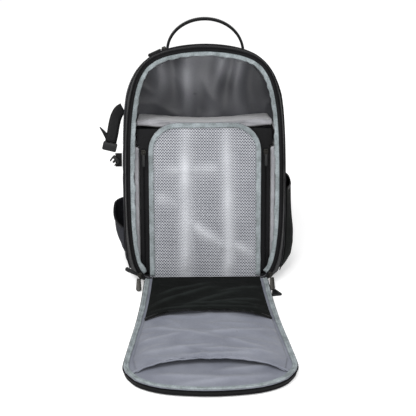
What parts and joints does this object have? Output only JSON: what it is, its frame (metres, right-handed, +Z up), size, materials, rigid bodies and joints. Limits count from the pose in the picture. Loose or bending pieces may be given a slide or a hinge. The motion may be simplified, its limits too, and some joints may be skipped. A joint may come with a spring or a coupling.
{
  "type": "camera backpack",
  "caption": "Padded camera backpack standing open, its zipped front door folded down on the floor, with a shelf and a mesh-fronted lower compartment.",
  "frame": {"origin": "middle of the body's flat base, on the floor", "axes": "+Z up from the floor, -Y towards the open front and along the door that lies there, +X to the right of someone who faces the open front"},
  "size_m": [0.3514, 0.6505, 0.4468],
  "materials": {
    "shell_black": "woven polyester, black",
    "shell_charcoal": "woven polyester, charcoal",
    "lining_grey": "smooth grey lining cloth",
    "lining_pale": "smooth pale blue-grey lining cloth",
    "binding_mint": "woven edge tape, pale grey-green",
    "padding_pale": "brushed loop cloth over foam, pale grey",
    "mesh_pale": "knitted mesh, pale grey",
    "mesh_black": "knitted mesh, black",
    "strap_pad": "spacer mesh over foam, black",
    "webbing_black": "ribbed webbing, black",
    "zip_black": "zip tape with a nylon coil, black",
    "plastic_black": "moulded nylon, black",
    "metal_grey": "worn gunmetal"
  },
  "bodies": {
    "root": {"zip_gusset": "shell_black", "side_gusset": "shell_charcoal", "back_panel": "shell_black", "lining": "lining_grey", "body_zip": "zip_black", "body_binding": "binding_mint", "back_zip": "zip_black", "carry_handle": "webbing_black", "mesh_flap": "mesh_pale", "flap_frame": "webbing_black", "flap_binding": "binding_mint", "shelf": "padding_pale", "insert_wall_left": "padding_pale", "insert_wall_right": "padding_pale", "shelf_tab_left": "padding_pale", "shelf_tab_right": "padding_pale", "shoulder_strap_left": "strap_pad", "shoulder_strap_right": "strap_pad", "strap_webbing_left": "webbing_black", "strap_webbing_right": "webbing_black", "ladder_lock_left": "plastic_black", "ladder_lock_right": "plastic_black", "flap_slider_left": "metal_grey", "flap_slider_right": "metal_grey", "flap_pull_left": "plastic_black", "flap_pull_right": "plastic_black", "pocket_left": "shell_charcoal", "pocket_right": "mesh_black", "side_strap": "webbing_black", "buckle_socket": "plastic_black", "buckle_tab": "webbing_black", "buckle_plug": "plastic_black", "door_panel": "shell_black", "door_lining": "lining_pale", "door_binding": "binding_mint", "door_zip": "zip_black", "door_pocket": "lining_pale", "door_mesh_pocket": "mesh_black", "hinge_strip": "binding_mint", "door_slider_left": "metal_grey", "door_slider_right": "metal_grey", "door_tab_left": "metal_grey", "door_tab_right": "metal_grey", "door_grip_left": "plastic_black", "door_grip_right": "plastic_black", "top_slider": "metal_grey", "top_grip": "plastic_black"}
  },
  "joints": []
}
